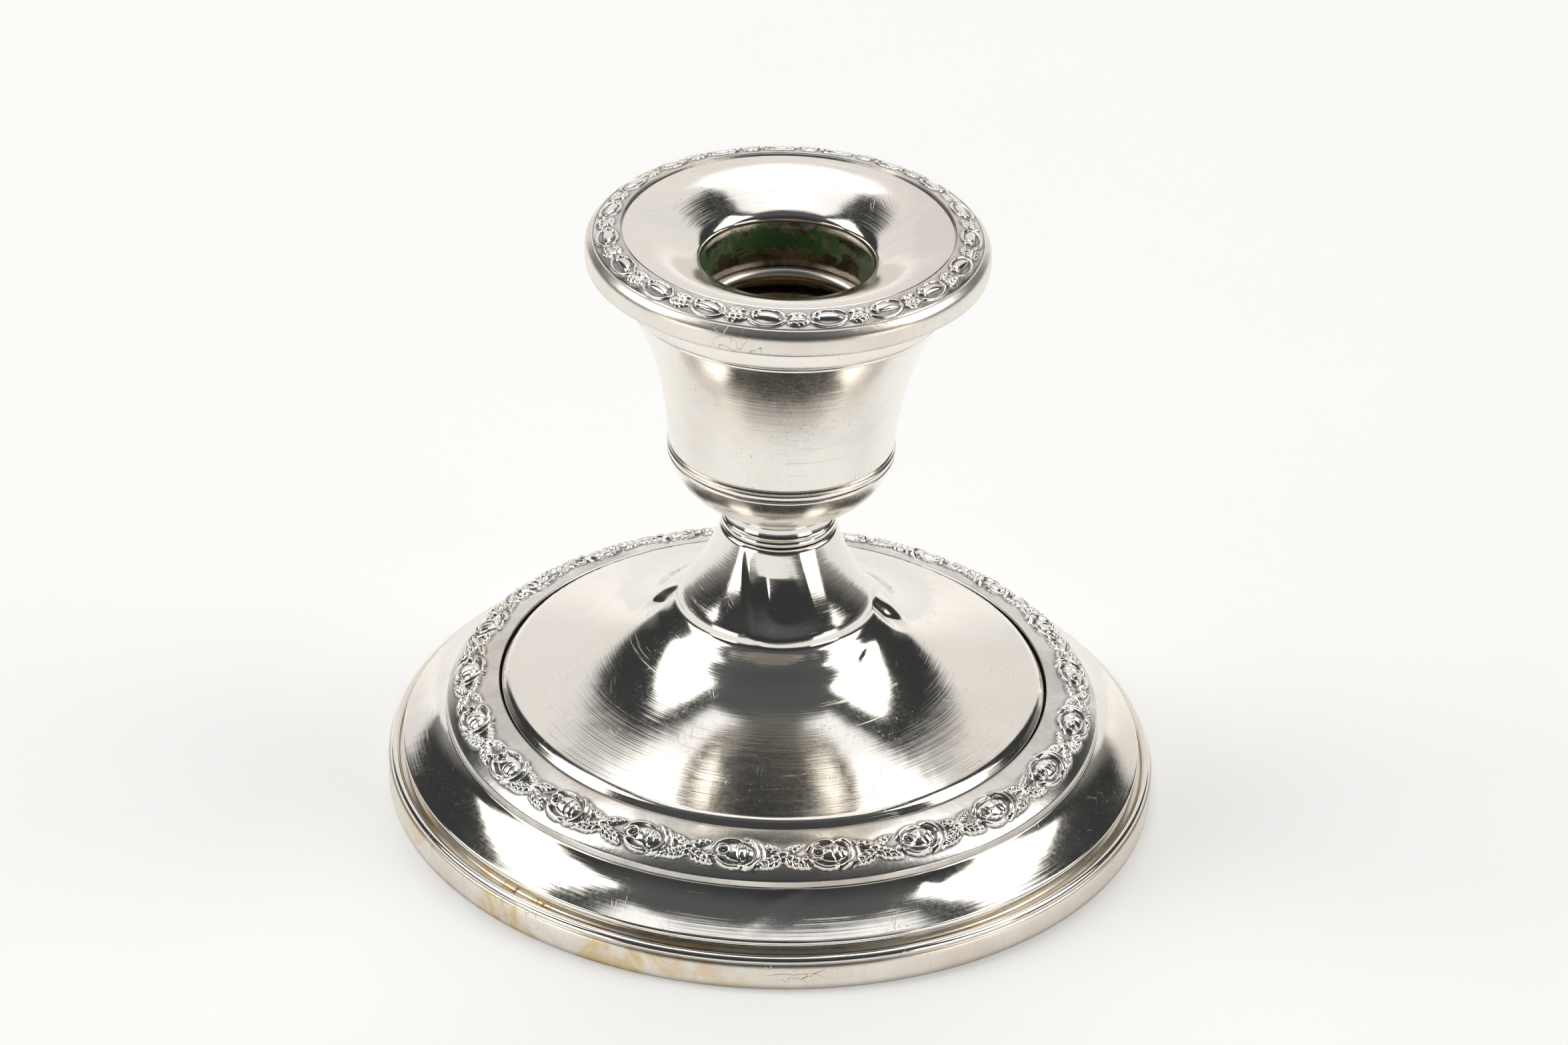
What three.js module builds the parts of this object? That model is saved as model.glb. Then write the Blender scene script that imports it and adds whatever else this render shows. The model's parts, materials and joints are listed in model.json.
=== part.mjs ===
// Dwarf candlestick in silver sheet, weighted, with a nozzle that lifts out of the cup.
// Millimetres, +Z up, origin on the axis at the underside of the foot.
import * as THREE from "three";

// Sheet, seams and facets.
const sheet = 0.8; // thickness of every spun shell
const seam = 0.3; // gap left at each soldered joint and around loose-laid pieces
const sides = 32; // facets around every turned piece

// Base.
const footRadius = 50; // outside of the vertical foot band
const footBandHeight = 3.5;
const footFlangeWidth = 2.4; // turned-in edge that carries the base plate
const footBeadRadius = 0.55; // half-round wire on top of the band
const footBeadInset = 0.75; // from the face of the band to the middle of the wire
const footLedge = 2.2; // from the face of the band to the foot of the skirt
const skirtWidth = 5.4;
const skirtRise = 6.4;
const skirtLip = 0.3; // how far the skirt overhangs the groove above the bead
const borderWidth = 7.1; // stamped flower band of the base
const borderRise = 4.2;
const plateThickness = 1.3;

// Stem.
const standHeight = 75.6; // from the table to the seat of the nozzle
const domeShare = 0.475; // share of the free height that the dome takes, the rest is the neck
const shoulderRadius = 14.6; // seam between dome and neck
const neckRadius = 7.3; // top of the neck
const collarRise = 3.6;
const collarBeadRadius = 0.45;
const collarWaist = 6.4; // narrowest outside radius of the collar
const collarWall = 0.9;
const rodRadius = 2; // reinforcing rod

// Cup.
const cupRadius = 14.4; // at the moulding between bowl and wall
const bowlRise = 7.7;
const cupBeadRadius = 0.4;
const cupWallRise = 22.1;
const mouthRadius = 20.1; // top of the cup wall, under its lip
const lipOverhang = 0.8; // from the mouth to the face of the lip
const lipRise = 4.1;

// Candle socket.
const throatRadius = 11; // bore that grips the candle
const tubeWall = 0.6; // nozzle collar and socket liner
const slideFit = 0.35; // radial clearance of the nozzle collar in the liner
const socketStep = 1.5; // how much narrower the liner is below its ledge
const socketDepth = 23.6; // from the nozzle seat to the floor of the liner
const ledgeDepth = 9.4; // from the nozzle seat to the ledge

// Nozzle.
const nozzleRadius = 25.3; // outside of the vertical rim
const nozzleRise = 4.7; // from its seat to the crest of its flower band
const nozzleBorderWidth = 3.6;
const nozzleMargin = 3.2; // flat ring between flower band and dish
const rimSlope = 0.7; // width of the plain slope between flower band and rim
const rimLift = 0.6; // from the seat to the lower edge of the rim
const rimHeight = 2.2; // vertical face of the rim
const rimReturn = 1.1; // turned-in edge under the rim
const nozzleCollarDepth = 6; // plain tube below the throat
const nozzleBeadRadius = 0.9; // rolled bead that ends the tube
const nozzleBeadStep = 1.2; // how much the bead closes in on the throat

// Levels of the seams, from the table up.
const borderZ = footBandHeight + skirtRise;
const domeZ = borderZ + borderRise;
const lipZ = standHeight - lipRise;
const cupZ = lipZ - cupWallRise;
const bowlZ = cupZ - bowlRise;
const collarZ = bowlZ - collarRise;
const shoulderZ = domeZ + domeShare * (collarZ - domeZ);

// Radii of the seams.
const skirtRadius = footRadius - footLedge;
const borderRadius = skirtRadius - skirtWidth;
const domeRadius = borderRadius - borderWidth;
const collarBore = collarWaist - collarWall;
const linerBore = throatRadius + tubeWall + slideFit;
const tubeBore = throatRadius - socketStep;
const lipRadius = mouthRadius + lipOverhang;

const half = seam / 2;
const at = (r, z) => new THREE.Vector2(r, z);

function arc(centre, radius, from, to, steps) {
  // Points on an arc, with its angles in degrees.
  const start = THREE.MathUtils.degToRad(from);
  const end = THREE.MathUtils.degToRad(to);
  const curve = new THREE.EllipseCurve(centre.x, centre.y, radius, radius, start, end, end < start);
  return curve.getPoints(steps);
}

function bend(start, pullStart, pullEnd, end, steps) {
  return new THREE.CubicBezierCurve(start, pullStart, pullEnd, end).getPoints(steps);
}

function offset(path, distance) {
  // Moves a polyline to its left with mitred corners.
  const left = (a, b) => at(a.y - b.y, b.x - a.x).normalize();
  return path.map((point, i) => {
    const before = i > 0 ? left(path[i - 1], point) : left(point, path[i + 1]);
    const after = i < path.length - 1 ? left(point, path[i + 1]) : before;
    const mitre = before.clone().add(after).normalize();
    return point.clone().addScaledVector(mitre, distance / mitre.dot(before));
  });
}

function shell(path, thickness, startCut = "square", endCut = "square") {
  // A wall of even thickness. An end is cut square to the wall, "level" or "upright".
  const inside = offset(path, thickness);
  const cut = (end, next, kind) => {
    const axis = { level: "y", upright: "x" }[kind];
    if (!axis) return;
    const beyond = inside.at(next);
    const share = (path.at(end)[axis] - beyond[axis]) / (inside.at(end)[axis] - beyond[axis]);
    inside.at(end).lerpVectors(beyond, inside.at(end).clone(), share);
  };
  cut(0, 1, startCut);
  cut(-1, -2, endCut);
  return [...path, ...inside.reverse()];
}

function turned(name, section, finish) {
  // Revolves a closed section, listed counter-clockwise, about the axis.
  const points = THREE.ShapeUtils.area(section) < 0 ? [...section].reverse() : [...section];
  const start = points.findIndex((point, i) => point.x === 0 && points.at(i - 1).x === 0);
  const loop = start < 0 ? points : [...points.slice(start), ...points.slice(0, start)];
  if (start < 0) loop.push(loop[0].clone());
  const geometry = new THREE.LatheGeometry(loop, sides).rotateX(Math.PI / 2);
  const mesh = new THREE.Mesh(geometry, new THREE.MeshStandardMaterial(finish));
  mesh.name = name;
  return mesh;
}

const silver = { color: 0xd9d4cb, roughness: 0.18, metalness: 1 };
const reliefSilver = { color: 0xc4c2bf, roughness: 0.3, metalness: 1 };
const wornSilver = { color: 0xd2c8bd, roughness: 0.4, metalness: 1 };
const brass = { color: 0x8f7d55, roughness: 0.45, metalness: 1 };
const pitch = { color: 0x5b4a3c, roughness: 0.9, metalness: 0 };
const iron = { color: 0x55585c, roughness: 0.6, metalness: 1 };
const tinplate = { color: 0x9a9c9e, roughness: 0.5, metalness: 1 };
const baize = { color: 0x24492f, roughness: 1, metalness: 0 };

function footBand() {
  // Channel section: a face with a turned-in flange below and a ledge above.
  const face = footRadius - sheet;
  const inner = footRadius - footFlangeWidth;
  const ledge = footBandHeight - sheet;
  return [
    at(inner, 0),
    at(footRadius - half, 0),
    at(footRadius, half),
    at(footRadius, footBandHeight - half),
    at(footRadius - half, footBandHeight),
    at(inner, footBandHeight),
    at(inner, ledge),
    at(face, ledge),
    at(face, sheet),
    at(inner, sheet),
  ];
}

function footBead() {
  const centre = at(footRadius - footBeadInset, footBandHeight + seam);
  return arc(centre, footBeadRadius, 0, 180, 4);
}

function skirtPath() {
  // A groove wall that leans out to a crisp edge, then a hollow slope up to the flower band.
  const edge = at(skirtRadius + skirtLip, footBandHeight + 0.35 * skirtRise);
  const top = at(borderRadius + half, borderZ);
  const pullEdge = at(edge.x - 0.42 * skirtWidth, edge.y + 0.18 * skirtRise);
  const pullTop = at(top.x + 0.22 * skirtWidth, top.y - 0.28 * skirtRise);
  return [at(skirtRadius, footBandHeight + seam), ...bend(edge, pullEdge, pullTop, top, 6)];
}

function borderPath() {
  // A low vertical step, then a convex slope up to the groove around the dome.
  const step = at(borderRadius, borderZ + 0.25 * borderRise);
  const crest = at(domeRadius + 0.5 * footBeadRadius + seam, domeZ);
  const pullStep = at(borderRadius - 0.15 * borderWidth, borderZ + 0.6 * borderRise);
  const pullCrest = at(domeRadius + 0.4 * borderWidth, borderZ + 0.95 * borderRise);
  return [at(borderRadius, borderZ + seam), ...bend(step, pullStep, pullCrest, crest, 4)];
}

function domePath() {
  // Rises from its rim in a long hollow sweep to the shoulder seam.
  const width = domeRadius - shoulderRadius;
  const rise = shoulderZ - domeZ;
  const rim = at(domeRadius - 0.035 * width, domeZ + 0.06 * rise);
  const pullRim = at(domeRadius - 0.39 * width, domeZ + 0.28 * rise);
  const pullTop = at(shoulderRadius + 0.21 * width, shoulderZ - 0.5 * rise);
  const top = at(shoulderRadius, shoulderZ);
  return [at(domeRadius, domeZ - half), ...bend(rim, pullRim, pullTop, top, 7)];
}

function neckPath() {
  const width = shoulderRadius - neckRadius;
  const rise = collarZ - shoulderZ;
  const foot = at(shoulderRadius - half, shoulderZ + seam);
  const pullFoot = at(shoulderRadius - 0.33 * width, shoulderZ + 0.2 * rise);
  const pullTop = at(neckRadius + 0.25 * width, collarZ - 0.5 * rise);
  return bend(foot, pullFoot, pullTop, at(neckRadius, collarZ - half), 5);
}

function collar() {
  // A bead seated on the neck, and a hollow waist that carries the bowl.
  const bottom = collarZ + half;
  const top = bowlZ - half;
  const bead = at(neckRadius - collarBeadRadius, bottom + collarBeadRadius);
  const waistFoot = at(bead.x, bead.y + collarBeadRadius);
  const waistTop = at(collarWaist + 0.4, top);
  const pull = at(2 * collarWaist - (waistFoot.x + waistTop.x) / 2, (waistFoot.y + top) / 2);
  const waist = new THREE.QuadraticBezierCurve(waistFoot, pull, waistTop).getPoints(4);
  return [
    at(collarBore, bottom),
    ...arc(bead, collarBeadRadius, -90, 90, 4),
    ...waist.slice(1),
    at(collarBore, top),
  ];
}

function bowlPath() {
  const width = cupRadius - neckRadius;
  const foot = at(neckRadius, bowlZ + half);
  const pullFoot = at(neckRadius + 0.43 * width, bowlZ + 0.14 * bowlRise);
  const pullTop = at(cupRadius - 0.08 * width, cupZ - 0.5 * bowlRise);
  const top = at(cupRadius, cupZ - seam);
  return [at(collarBore + seam, foot.y), ...bend(foot, pullFoot, pullTop, top, 5)];
}

function cupBead() {
  const centre = at(cupRadius - 0.6 * cupBeadRadius, cupZ + cupBeadRadius);
  const inner = cupRadius - sheet;
  return [
    at(inner, cupZ),
    ...arc(centre, cupBeadRadius, -90, 90, 3),
    at(inner, cupZ + 2 * cupBeadRadius),
  ];
}

function cupWallPath() {
  // Almost upright at its foot, then flared more and more to the mouth.
  const foot = at(cupRadius - half, cupZ + 2 * cupBeadRadius + seam);
  const flare = mouthRadius - cupRadius;
  const pullFoot = at(cupRadius + 0.05 * flare, cupZ + 0.38 * cupWallRise);
  const pullTop = at(cupRadius + 0.4 * flare, lipZ - 0.26 * cupWallRise);
  return bend(foot, pullFoot, pullTop, at(mouthRadius, lipZ - half), 6);
}

function cupLip() {
  // A fillet and an upright band that turns over the mouth and closes in on the liner.
  const top = standHeight - seam;
  const bore = linerBore + tubeWall + seam;
  const under = top - sheet;
  const fillet = at(mouthRadius + half, lipZ + 0.12 * lipRise);
  return [
    at(mouthRadius + half, lipZ + half),
    fillet,
    at(lipRadius - half, fillet.y),
    at(lipRadius, fillet.y + half),
    at(lipRadius, top - half),
    at(lipRadius - half, top),
    at(bore, top),
    at(bore, under),
    at(mouthRadius - half, under),
    at(mouthRadius + half - sheet, lipZ + half),
  ];
}

function socketLiner() {
  // A drawn cup: wide sleeve for the nozzle collar, ledge, narrower tube and floor.
  const floor = standHeight - socketDepth;
  const ledge = standHeight - ledgeDepth;
  return [
    at(0, floor),
    at(tubeBore, floor),
    at(tubeBore, ledge - tubeWall),
    at(tubeBore + 0.4 * tubeWall, ledge - 0.3 * tubeWall),
    at(linerBore, ledge),
    at(linerBore, standHeight),
    at(linerBore + tubeWall, standHeight),
    at(linerBore + tubeWall, ledge - tubeWall),
    at(tubeBore + tubeWall, ledge - 2 * tubeWall),
    at(tubeBore + tubeWall, floor - tubeWall),
    at(0, floor - tubeWall),
  ];
}

const plateZ = sheet + seam;
const fillingZ = plateZ + plateThickness + seam;
const fillingTop = standHeight - socketDepth - tubeWall - seam;

function filling() {
  // One pour that fills base, neck and bowl around the rod, up to the floor of the liner.
  const inside = sheet + seam;
  const bore = rodRadius + seam;
  const stem = collarBore - seam;
  const base = offset([...skirtPath(), ...domePath()], inside);
  const neck = offset(neckPath(), inside);
  const bowl = offset(bowlPath(), inside);
  return [
    at(bore, fillingZ),
    at(skirtRadius - inside, fillingZ),
    ...base,
    ...neck.slice(1).filter((point) => point.x > stem),
    at(stem, collarZ - half),
    at(stem, bowlZ + inside + half),
    ...bowl.filter((point) => point.x > stem + half),
    at(cupRadius - half - inside, fillingTop),
    at(bore, fillingTop),
  ];
}

const disc = (radius, bottom, top) => [at(0, bottom), at(radius, bottom), at(radius, top), at(0, top)];

// The nozzle is drawn from its own seat, which is level 0.
const nozzleBorderRadius = nozzleRadius - rimSlope - nozzleBorderWidth;
const slopeRadius = nozzleRadius - rimSlope;
const rimTop = rimLift + rimHeight;
const slopeTop = rimTop + 0.36 * (nozzleRise - rimTop);

function panPath() {
  // A rounded throat, a straight dish and a nearly flat margin.
  const width = nozzleBorderRadius - throatRadius;
  const throat = at(throatRadius, seam);
  const dishFoot = at(throatRadius + 0.17 * width, 0.37 * nozzleRise);
  const pullThroat = at(throatRadius, 0.2 * nozzleRise);
  const pullFoot = at(throatRadius + 0.08 * width, 0.27 * nozzleRise);
  const margin = at(nozzleBorderRadius - nozzleMargin, 0.92 * nozzleRise);
  const top = at(nozzleBorderRadius - half, nozzleRise - half);
  return [...bend(throat, pullThroat, pullFoot, dishFoot, 4), margin, top];
}

function nozzleBorderPath() {
  const inner = at(nozzleBorderRadius + half, nozzleRise);
  const outer = at(slopeRadius - seam, slopeTop + half);
  const width = outer.x - inner.x;
  const pullInner = at(inner.x + 0.4 * width, nozzleRise);
  const pullOuter = at(outer.x - 0.25 * width, outer.y + 0.45 * (nozzleRise - outer.y));
  return bend(inner, pullInner, pullOuter, outer, 4);
}

function nozzleRim() {
  // Plain slope, vertical face and turned-in lower edge.
  return [
    at(slopeRadius, slopeTop),
    at(nozzleRadius - half, rimTop + half),
    at(nozzleRadius, rimTop - half),
    at(nozzleRadius, rimLift + half),
    at(nozzleRadius - half, rimLift),
    at(nozzleRadius - rimReturn, rimLift),
    at(nozzleRadius - rimReturn, rimLift + half),
    at(nozzleRadius - sheet, rimLift + 0.5 * sheet),
    at(nozzleRadius - sheet, slopeTop - 1.1 * sheet),
    at(slopeRadius, slopeTop - sheet),
  ];
}

function nozzleCollar() {
  const outside = throatRadius + tubeWall;
  return [
    at(throatRadius, -nozzleCollarDepth),
    at(outside, -nozzleCollarDepth),
    at(outside, 0),
    at(throatRadius, 0),
  ];
}

function nozzleBead() {
  const outside = throatRadius + tubeWall;
  const top = -nozzleCollarDepth - seam;
  const centre = at(throatRadius - nozzleBeadStep + nozzleBeadRadius, top - nozzleBeadRadius);
  const roll = arc(centre, nozzleBeadRadius, 90, 270, 4);
  return [at(outside, top), ...roll, at(outside, top - 2 * nozzleBeadRadius)];
}

const stand = new THREE.Group();
stand.add(
  turned("baize_pad", disc(footRadius - footFlangeWidth - seam, 0, sheet), baize),
  turned("base_plate", disc(footRadius - sheet - seam, plateZ, plateZ + plateThickness), tinplate),
  turned("foot_band", footBand(), wornSilver),
  turned("foot_bead", footBead(), silver),
  turned("base_skirt", shell(skirtPath(), sheet), silver),
  turned("base_flower_band", shell(borderPath(), sheet, "level", "upright"), reliefSilver),
  turned("base_dome", shell(domePath(), sheet), silver),
  turned("stem_neck", shell(neckPath(), sheet), silver),
  turned("stem_collar", collar(), silver),
  turned("cup_bowl", shell(bowlPath(), sheet, "upright", "level"), silver),
  turned("cup_bead", cupBead(), silver),
  turned("cup_wall", shell(cupWallPath(), sheet, "level", "level"), silver),
  turned("cup_lip", cupLip(), silver),
  turned("socket_liner", socketLiner(), brass),
  turned("pitch_filling", filling(), pitch),
  turned("stem_rod", disc(rodRadius, fillingZ, fillingTop), iron),
);

const nozzle = new THREE.Group();
nozzle.position.z = standHeight;
nozzle.add(
  turned("nozzle_pan", shell(panPath(), -sheet, "level", "upright"), silver),
  turned("nozzle_flower_band", shell(nozzleBorderPath(), -sheet, "upright", "upright"), reliefSilver),
  turned("nozzle_rim", nozzleRim(), wornSilver),
  turned("nozzle_collar", nozzleCollar(), silver),
  turned("nozzle_collar_bead", nozzleBead(), silver),
);

const candlestick = new THREE.Group();
candlestick.add(stand, nozzle);
export default candlestick;
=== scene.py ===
import json
import math

import bmesh
import bpy
import numpy as np
from mathutils import Matrix, Vector


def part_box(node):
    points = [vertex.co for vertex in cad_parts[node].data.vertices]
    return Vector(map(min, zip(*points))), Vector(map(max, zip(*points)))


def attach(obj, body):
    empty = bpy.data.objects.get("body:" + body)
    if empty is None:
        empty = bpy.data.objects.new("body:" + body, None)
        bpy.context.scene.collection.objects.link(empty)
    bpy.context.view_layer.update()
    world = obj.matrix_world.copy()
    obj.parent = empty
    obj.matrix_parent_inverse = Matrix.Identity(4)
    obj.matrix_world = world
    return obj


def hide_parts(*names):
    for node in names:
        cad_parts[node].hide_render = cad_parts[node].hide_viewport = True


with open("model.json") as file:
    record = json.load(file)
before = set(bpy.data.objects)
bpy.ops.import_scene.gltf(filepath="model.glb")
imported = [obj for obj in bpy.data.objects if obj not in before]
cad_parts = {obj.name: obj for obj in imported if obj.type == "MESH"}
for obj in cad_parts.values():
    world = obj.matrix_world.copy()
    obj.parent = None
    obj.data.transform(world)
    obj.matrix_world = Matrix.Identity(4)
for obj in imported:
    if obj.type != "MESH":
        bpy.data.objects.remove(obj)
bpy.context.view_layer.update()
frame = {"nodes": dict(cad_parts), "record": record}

MM = 0.001
ROUND = 2 * math.pi

SEAM_GROWTH = 0.14 * MM  # what each piece grows by, to close the gaps between the CAD nodes
NEAR = 1e-6  # slack of the section plane, and smallest divisor
WELD = 1e-7
BEND = 30  # degrees a facet turns before its bend is held in place
CORNER = 50  # degrees from which a bend is a real corner
FACET_SHARE = 0.45  # most of a facet that a held bend may take

LOBE_WIDTH = 4.8 * MM  # half sizes of the lobe pressed into the neck
LOBE_HEIGHT = 3.6 * MM
LOBE_ROUND = 2.5 * MM  # height over which its left edge stays upright
LOBE_WALL = 0.5  # share of its half size that its edge slopes over
LOBE_FADE = 1.7  # half widths over which it fades to the right
LOBE_TOP = 3 * MM  # height over which it fades under its top
LIP_HEIGHT = 0.12  # raised lip around the lobe, as shares of its depth and half size
LIP_REACH = 1.12
LIP_WIDTH = 0.12

SEEN_FROM = np.array([0.45, 0.89])  # direction outwards and up that a flower band is stamped from
SEEN_LIMIT = -0.05
MOTIF_START = 0.3  # share of a repeat that lies left of its zero
CAVITY_WINDOW = 0.35  # mm, half the width over which the relief is averaged
CAVITY_GAIN = 3.2

PATTERN_SIZE = 1.0  # scale of a texture whose place is already scaled
FLOOR_SIZE = 3.0
FLOOR_GLOW = 0.16
FOCAL_LENGTH = 130.1  # mm
SENSOR_WIDTH = 36


# ---------------------------------------------------------------- sections of the frame

def section(node):
    """The (radius, height) outline of a turned CAD node in the plane y = 0, x > 0, and whether it closes."""
    mesh = frame["nodes"][node].data
    near = {}
    for vertex in mesh.vertices:
        x, y, z = vertex.co
        if abs(y) < NEAR and x > -NEAR:
            near[vertex.index] = (round(max(x, 0), 6), round(z, 6))
    links = {}
    for edge in mesh.edges:
        a, b = edge.vertices
        if a in near and b in near and near[a] != near[b]:
            links.setdefault(near[a], set()).add(near[b])
            links.setdefault(near[b], set()).add(near[a])
    ends = [point for point, others in links.items() if len(others) == 1]
    chain = [min(ends or links)]
    while len(chain) < len(links):
        onward = [point for point in links[chain[-1]] if point not in chain]
        if not onward:
            break
        chain.append(min(onward))
    return np.array(chain), not ends


def turn_at(before, point, after):
    a, b = point - before, after - point
    return math.degrees(abs(math.atan2(a[0] * b[1] - a[1] * b[0], a @ b)))


def winding(loop):
    """1 for an anticlockwise outline and -1 for a clockwise one."""
    beside = np.roll(loop, -1, 0)
    return 1 if np.sum(loop[:, 0] * beside[:, 1] - beside[:, 0] * loop[:, 1]) > 0 else -1


def grown(loop, by):
    """Moves a closed outline outwards by a distance, with mitred corners."""
    ahead = np.roll(loop, -1, 0) - loop
    ahead /= np.linalg.norm(ahead, axis=1)[:, None]
    out = np.stack([ahead[:, 1], -ahead[:, 0]], 1) * winding(loop)
    mitre = out + np.roll(out, 1, 0)
    mitre /= np.linalg.norm(mitre, axis=1)[:, None]
    return loop + mitre * (by / np.sum(mitre * out, 1))[:, None]


def smoothed(loop, closed, edge, step):
    """A cubic B-spline through an outline: bends of the facets run smooth, real corners keep radius edge."""
    count = len(loop)
    control = []
    for i, point in enumerate(loop):
        if not closed and i in (0, count - 1):
            control += [point]
            continue
        before, after = loop[i - 1], loop[(i + 1) % count]
        back, ahead = np.linalg.norm(point - before), np.linalg.norm(after - point)
        turn = turn_at(before, point, after)
        reach = min(back, ahead, edge if turn > CORNER else 3 * edge)
        if turn > BEND and reach < FACET_SHARE * back:
            control.append(point + (before - point) * reach / back)
        control.append(point)
        if turn > BEND and reach < FACET_SHARE * ahead:
            control.append(point + (after - point) * reach / ahead)
    control = np.array(control)
    if not closed:
        first, last = 2 * control[0] - control[1], 2 * control[-1] - control[-2]
        control = np.vstack([first, control, last])
    spans = len(control) if closed else len(control) - 3
    points = []
    for k in range(spans):
        p = [control[(k + j) % len(control)] for j in range(4)]
        pieces = max(1, math.ceil(np.linalg.norm(p[2] - p[1]) / step))
        for t in np.arange(pieces) / pieces:
            weights = ((1 - t) ** 3, 3 * t**3 - 6 * t**2 + 4, -3 * t**3 + 3 * t**2 + 3 * t + 1, t**3)
            points.append(sum(w * q for w, q in zip(weights, p)) / 6)
    if not closed:
        points.append(loop[-1])
    return np.array(points)


# ---------------------------------------------------------------- turned meshes

def lathe(name, radius, height, closed):
    """A mesh from two arrays, rows along the outline and columns around the axis."""
    rows, columns = radius.shape
    angle = np.arange(columns) * ROUND / columns
    height = np.maximum(height, 0)
    points = np.stack([radius * np.sin(angle), -radius * np.cos(angle), height], -1).reshape(-1, 3)
    row = np.arange(rows if closed else rows - 1)[:, None]
    column = np.arange(columns)[None, :]
    up, beside = (row + 1) % rows, (column + 1) % columns
    corners = (row * columns + column, row * columns + beside, up * columns + beside, up * columns + column)
    faces = np.stack([np.broadcast_to(c, (len(row), columns)) for c in corners], -1).reshape(-1, 4)
    return mesh_object(name, points, faces)


def mesh_object(name, points, faces):
    mesh = bpy.data.meshes.new(name)
    mesh.vertices.add(len(points))
    mesh.vertices.foreach_set("co", points.astype(np.float32).ravel())
    mesh.loops.add(faces.size)
    mesh.loops.foreach_set("vertex_index", faces.astype(np.int32).ravel())
    mesh.polygons.add(len(faces))
    mesh.polygons.foreach_set("loop_start", np.arange(len(faces), dtype=np.int32) * faces.shape[1])
    mesh.update(calc_edges=True)
    mesh.validate()
    mesh.polygons.foreach_set("use_smooth", np.ones(len(mesh.polygons), bool))
    piece = bpy.data.objects.new(name, mesh)
    bpy.context.scene.collection.objects.link(piece)
    return piece


def faced_out(piece):
    """Turns the faces outwards and closes the poles on the axis."""
    work = bmesh.new()
    work.from_mesh(piece.data)
    bmesh.ops.remove_doubles(work, verts=work.verts, dist=WELD)
    bmesh.ops.recalc_face_normals(work, faces=work.faces)
    work.to_mesh(piece.data)
    work.free()


def finish_piece(piece, node, material, *more):
    """Gives a piece its material in a new slot and its body, and hides the CAD nodes that it stands for."""
    body = next(b for b, members in frame["record"]["behaviour"]["bodies"].items() if node in members)
    piece.data.materials.append(material)
    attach(piece, body)
    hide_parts(node, *more)


# ---------------------------------------------------------------- dents

def bump_field(angle, height, at, size, turn):
    """Distances from a place on a turned surface, in lengths of its own half sizes: along and across."""
    azimuth, level, radius = at
    wide = (angle - math.radians(azimuth) + math.pi) % ROUND - math.pi
    u, v = wide * radius, height - level
    c, s = math.cos(math.radians(turn)), math.sin(math.radians(turn))
    return (c * u + s * v) / size[0], (c * v - s * u) / size[1]


def pressed(dent, angle, height):
    """How far one dent pushes the surface in: a lobe, a ring all round, or a hollow.

    A hollow with a crease is steep on one side and runs out slowly on the other.
    """
    if "base" in dent:
        return tongue(angle, height, dent["base"], dent["top"], dent["depth"])
    if "ring" in dent:
        return dent["depth"] * np.exp(-(((height - dent["ring"]) / dent["width"]) ** 2))
    along, across = bump_field(angle, height, dent["at"], dent["size"], dent["turn"])
    side = np.exp(-(across**2))
    if "crease" in dent:
        side = np.where(across < 0, np.exp(-((across / dent["crease"]) ** 2)), side)
    return dent["depth"] * np.exp(-(along**2)) * side


def dented(radius, height, dents):
    angle = np.arange(radius.shape[1]) * ROUND / radius.shape[1]
    angle = np.broadcast_to(angle, radius.shape)
    result = radius.copy()
    for dent in dents:
        result -= pressed(dent, angle, height)
    return result


def tongue(angle, height, base, top, depth):
    """How far a pressed-in lobe lies under the surface: steepest on its left, fading to the right and top.

    base is the lobe's lower left corner and top the upper end of its left edge, each as
    (azimuth, height, radius).
    """
    across = math.radians(1) * base[2]
    wide = ((np.degrees(angle) - base[0] + 180) % 360 - 180) * across
    rise = height - base[1]
    lean = (top[0] - base[0]) * across / (top[1] - base[1])
    wide = wide - lean * np.maximum(rise - LOBE_ROUND, 0)
    x, y = (wide - LOBE_WIDTH) / LOBE_WIDTH, (rise - LOBE_HEIGHT) / LOBE_HEIGHT
    reach = (np.abs(x) ** 3 + np.abs(np.minimum(y, 0)) ** 3) ** (1 / 3)
    wall = np.clip((1 - reach) / LOBE_WALL, 0, 1)
    wall = wall * wall * (3 - 2 * wall)
    fade = np.exp(-((np.maximum(wide, 0) / (LOBE_FADE * LOBE_WIDTH)) ** 2))
    fade = fade * np.clip((top[1] - height) / LOBE_TOP, 0, 1)
    lip = LIP_HEIGHT * np.exp(-(((reach - LIP_REACH) / LIP_WIDTH) ** 2)) * (x < 0.9)
    return depth * (wall - lip) * fade


# ---------------------------------------------------------------- flower bands

def blob(u, v, at, size, turn=0.0):
    """1 at the middle of an ellipse, 0 at its rim and outside, as a rounded hill."""
    c, s = math.cos(math.radians(turn)), math.sin(math.radians(turn))
    x = (c * (u - at[0]) + s * (v - at[1])) / size[0]
    y = (c * (v - at[1]) - s * (u - at[0])) / size[1]
    return np.sqrt(np.clip(1 - x * x - y * y, 0, 1))


def wire(distance, width):
    return np.sqrt(np.clip(1 - (distance / width) ** 2, 0, 1))


def ellipse_line(u, v, at, size, width, start=-180, end=180):
    """A raised wire along part of an ellipse."""
    x, y = (u - at[0]) / size[0], (v - at[1]) / size[1]
    reach = np.hypot(x, y)
    grade = np.hypot(x / size[0], y / size[1]) / np.maximum(reach, NEAR)
    distance = np.abs(reach - 1) / np.maximum(grade, NEAR)
    bearing = np.degrees(np.arctan2(y, x))
    middle, spread = (start + end) / 2, (end - start) / 2
    off = np.abs((bearing - middle + 180) % 360 - 180)
    taper = np.clip((spread - off) / 25 + 0.25, 0, 1) if end - start < 360 else 1.0
    return wire(distance, width) * taper


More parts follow.
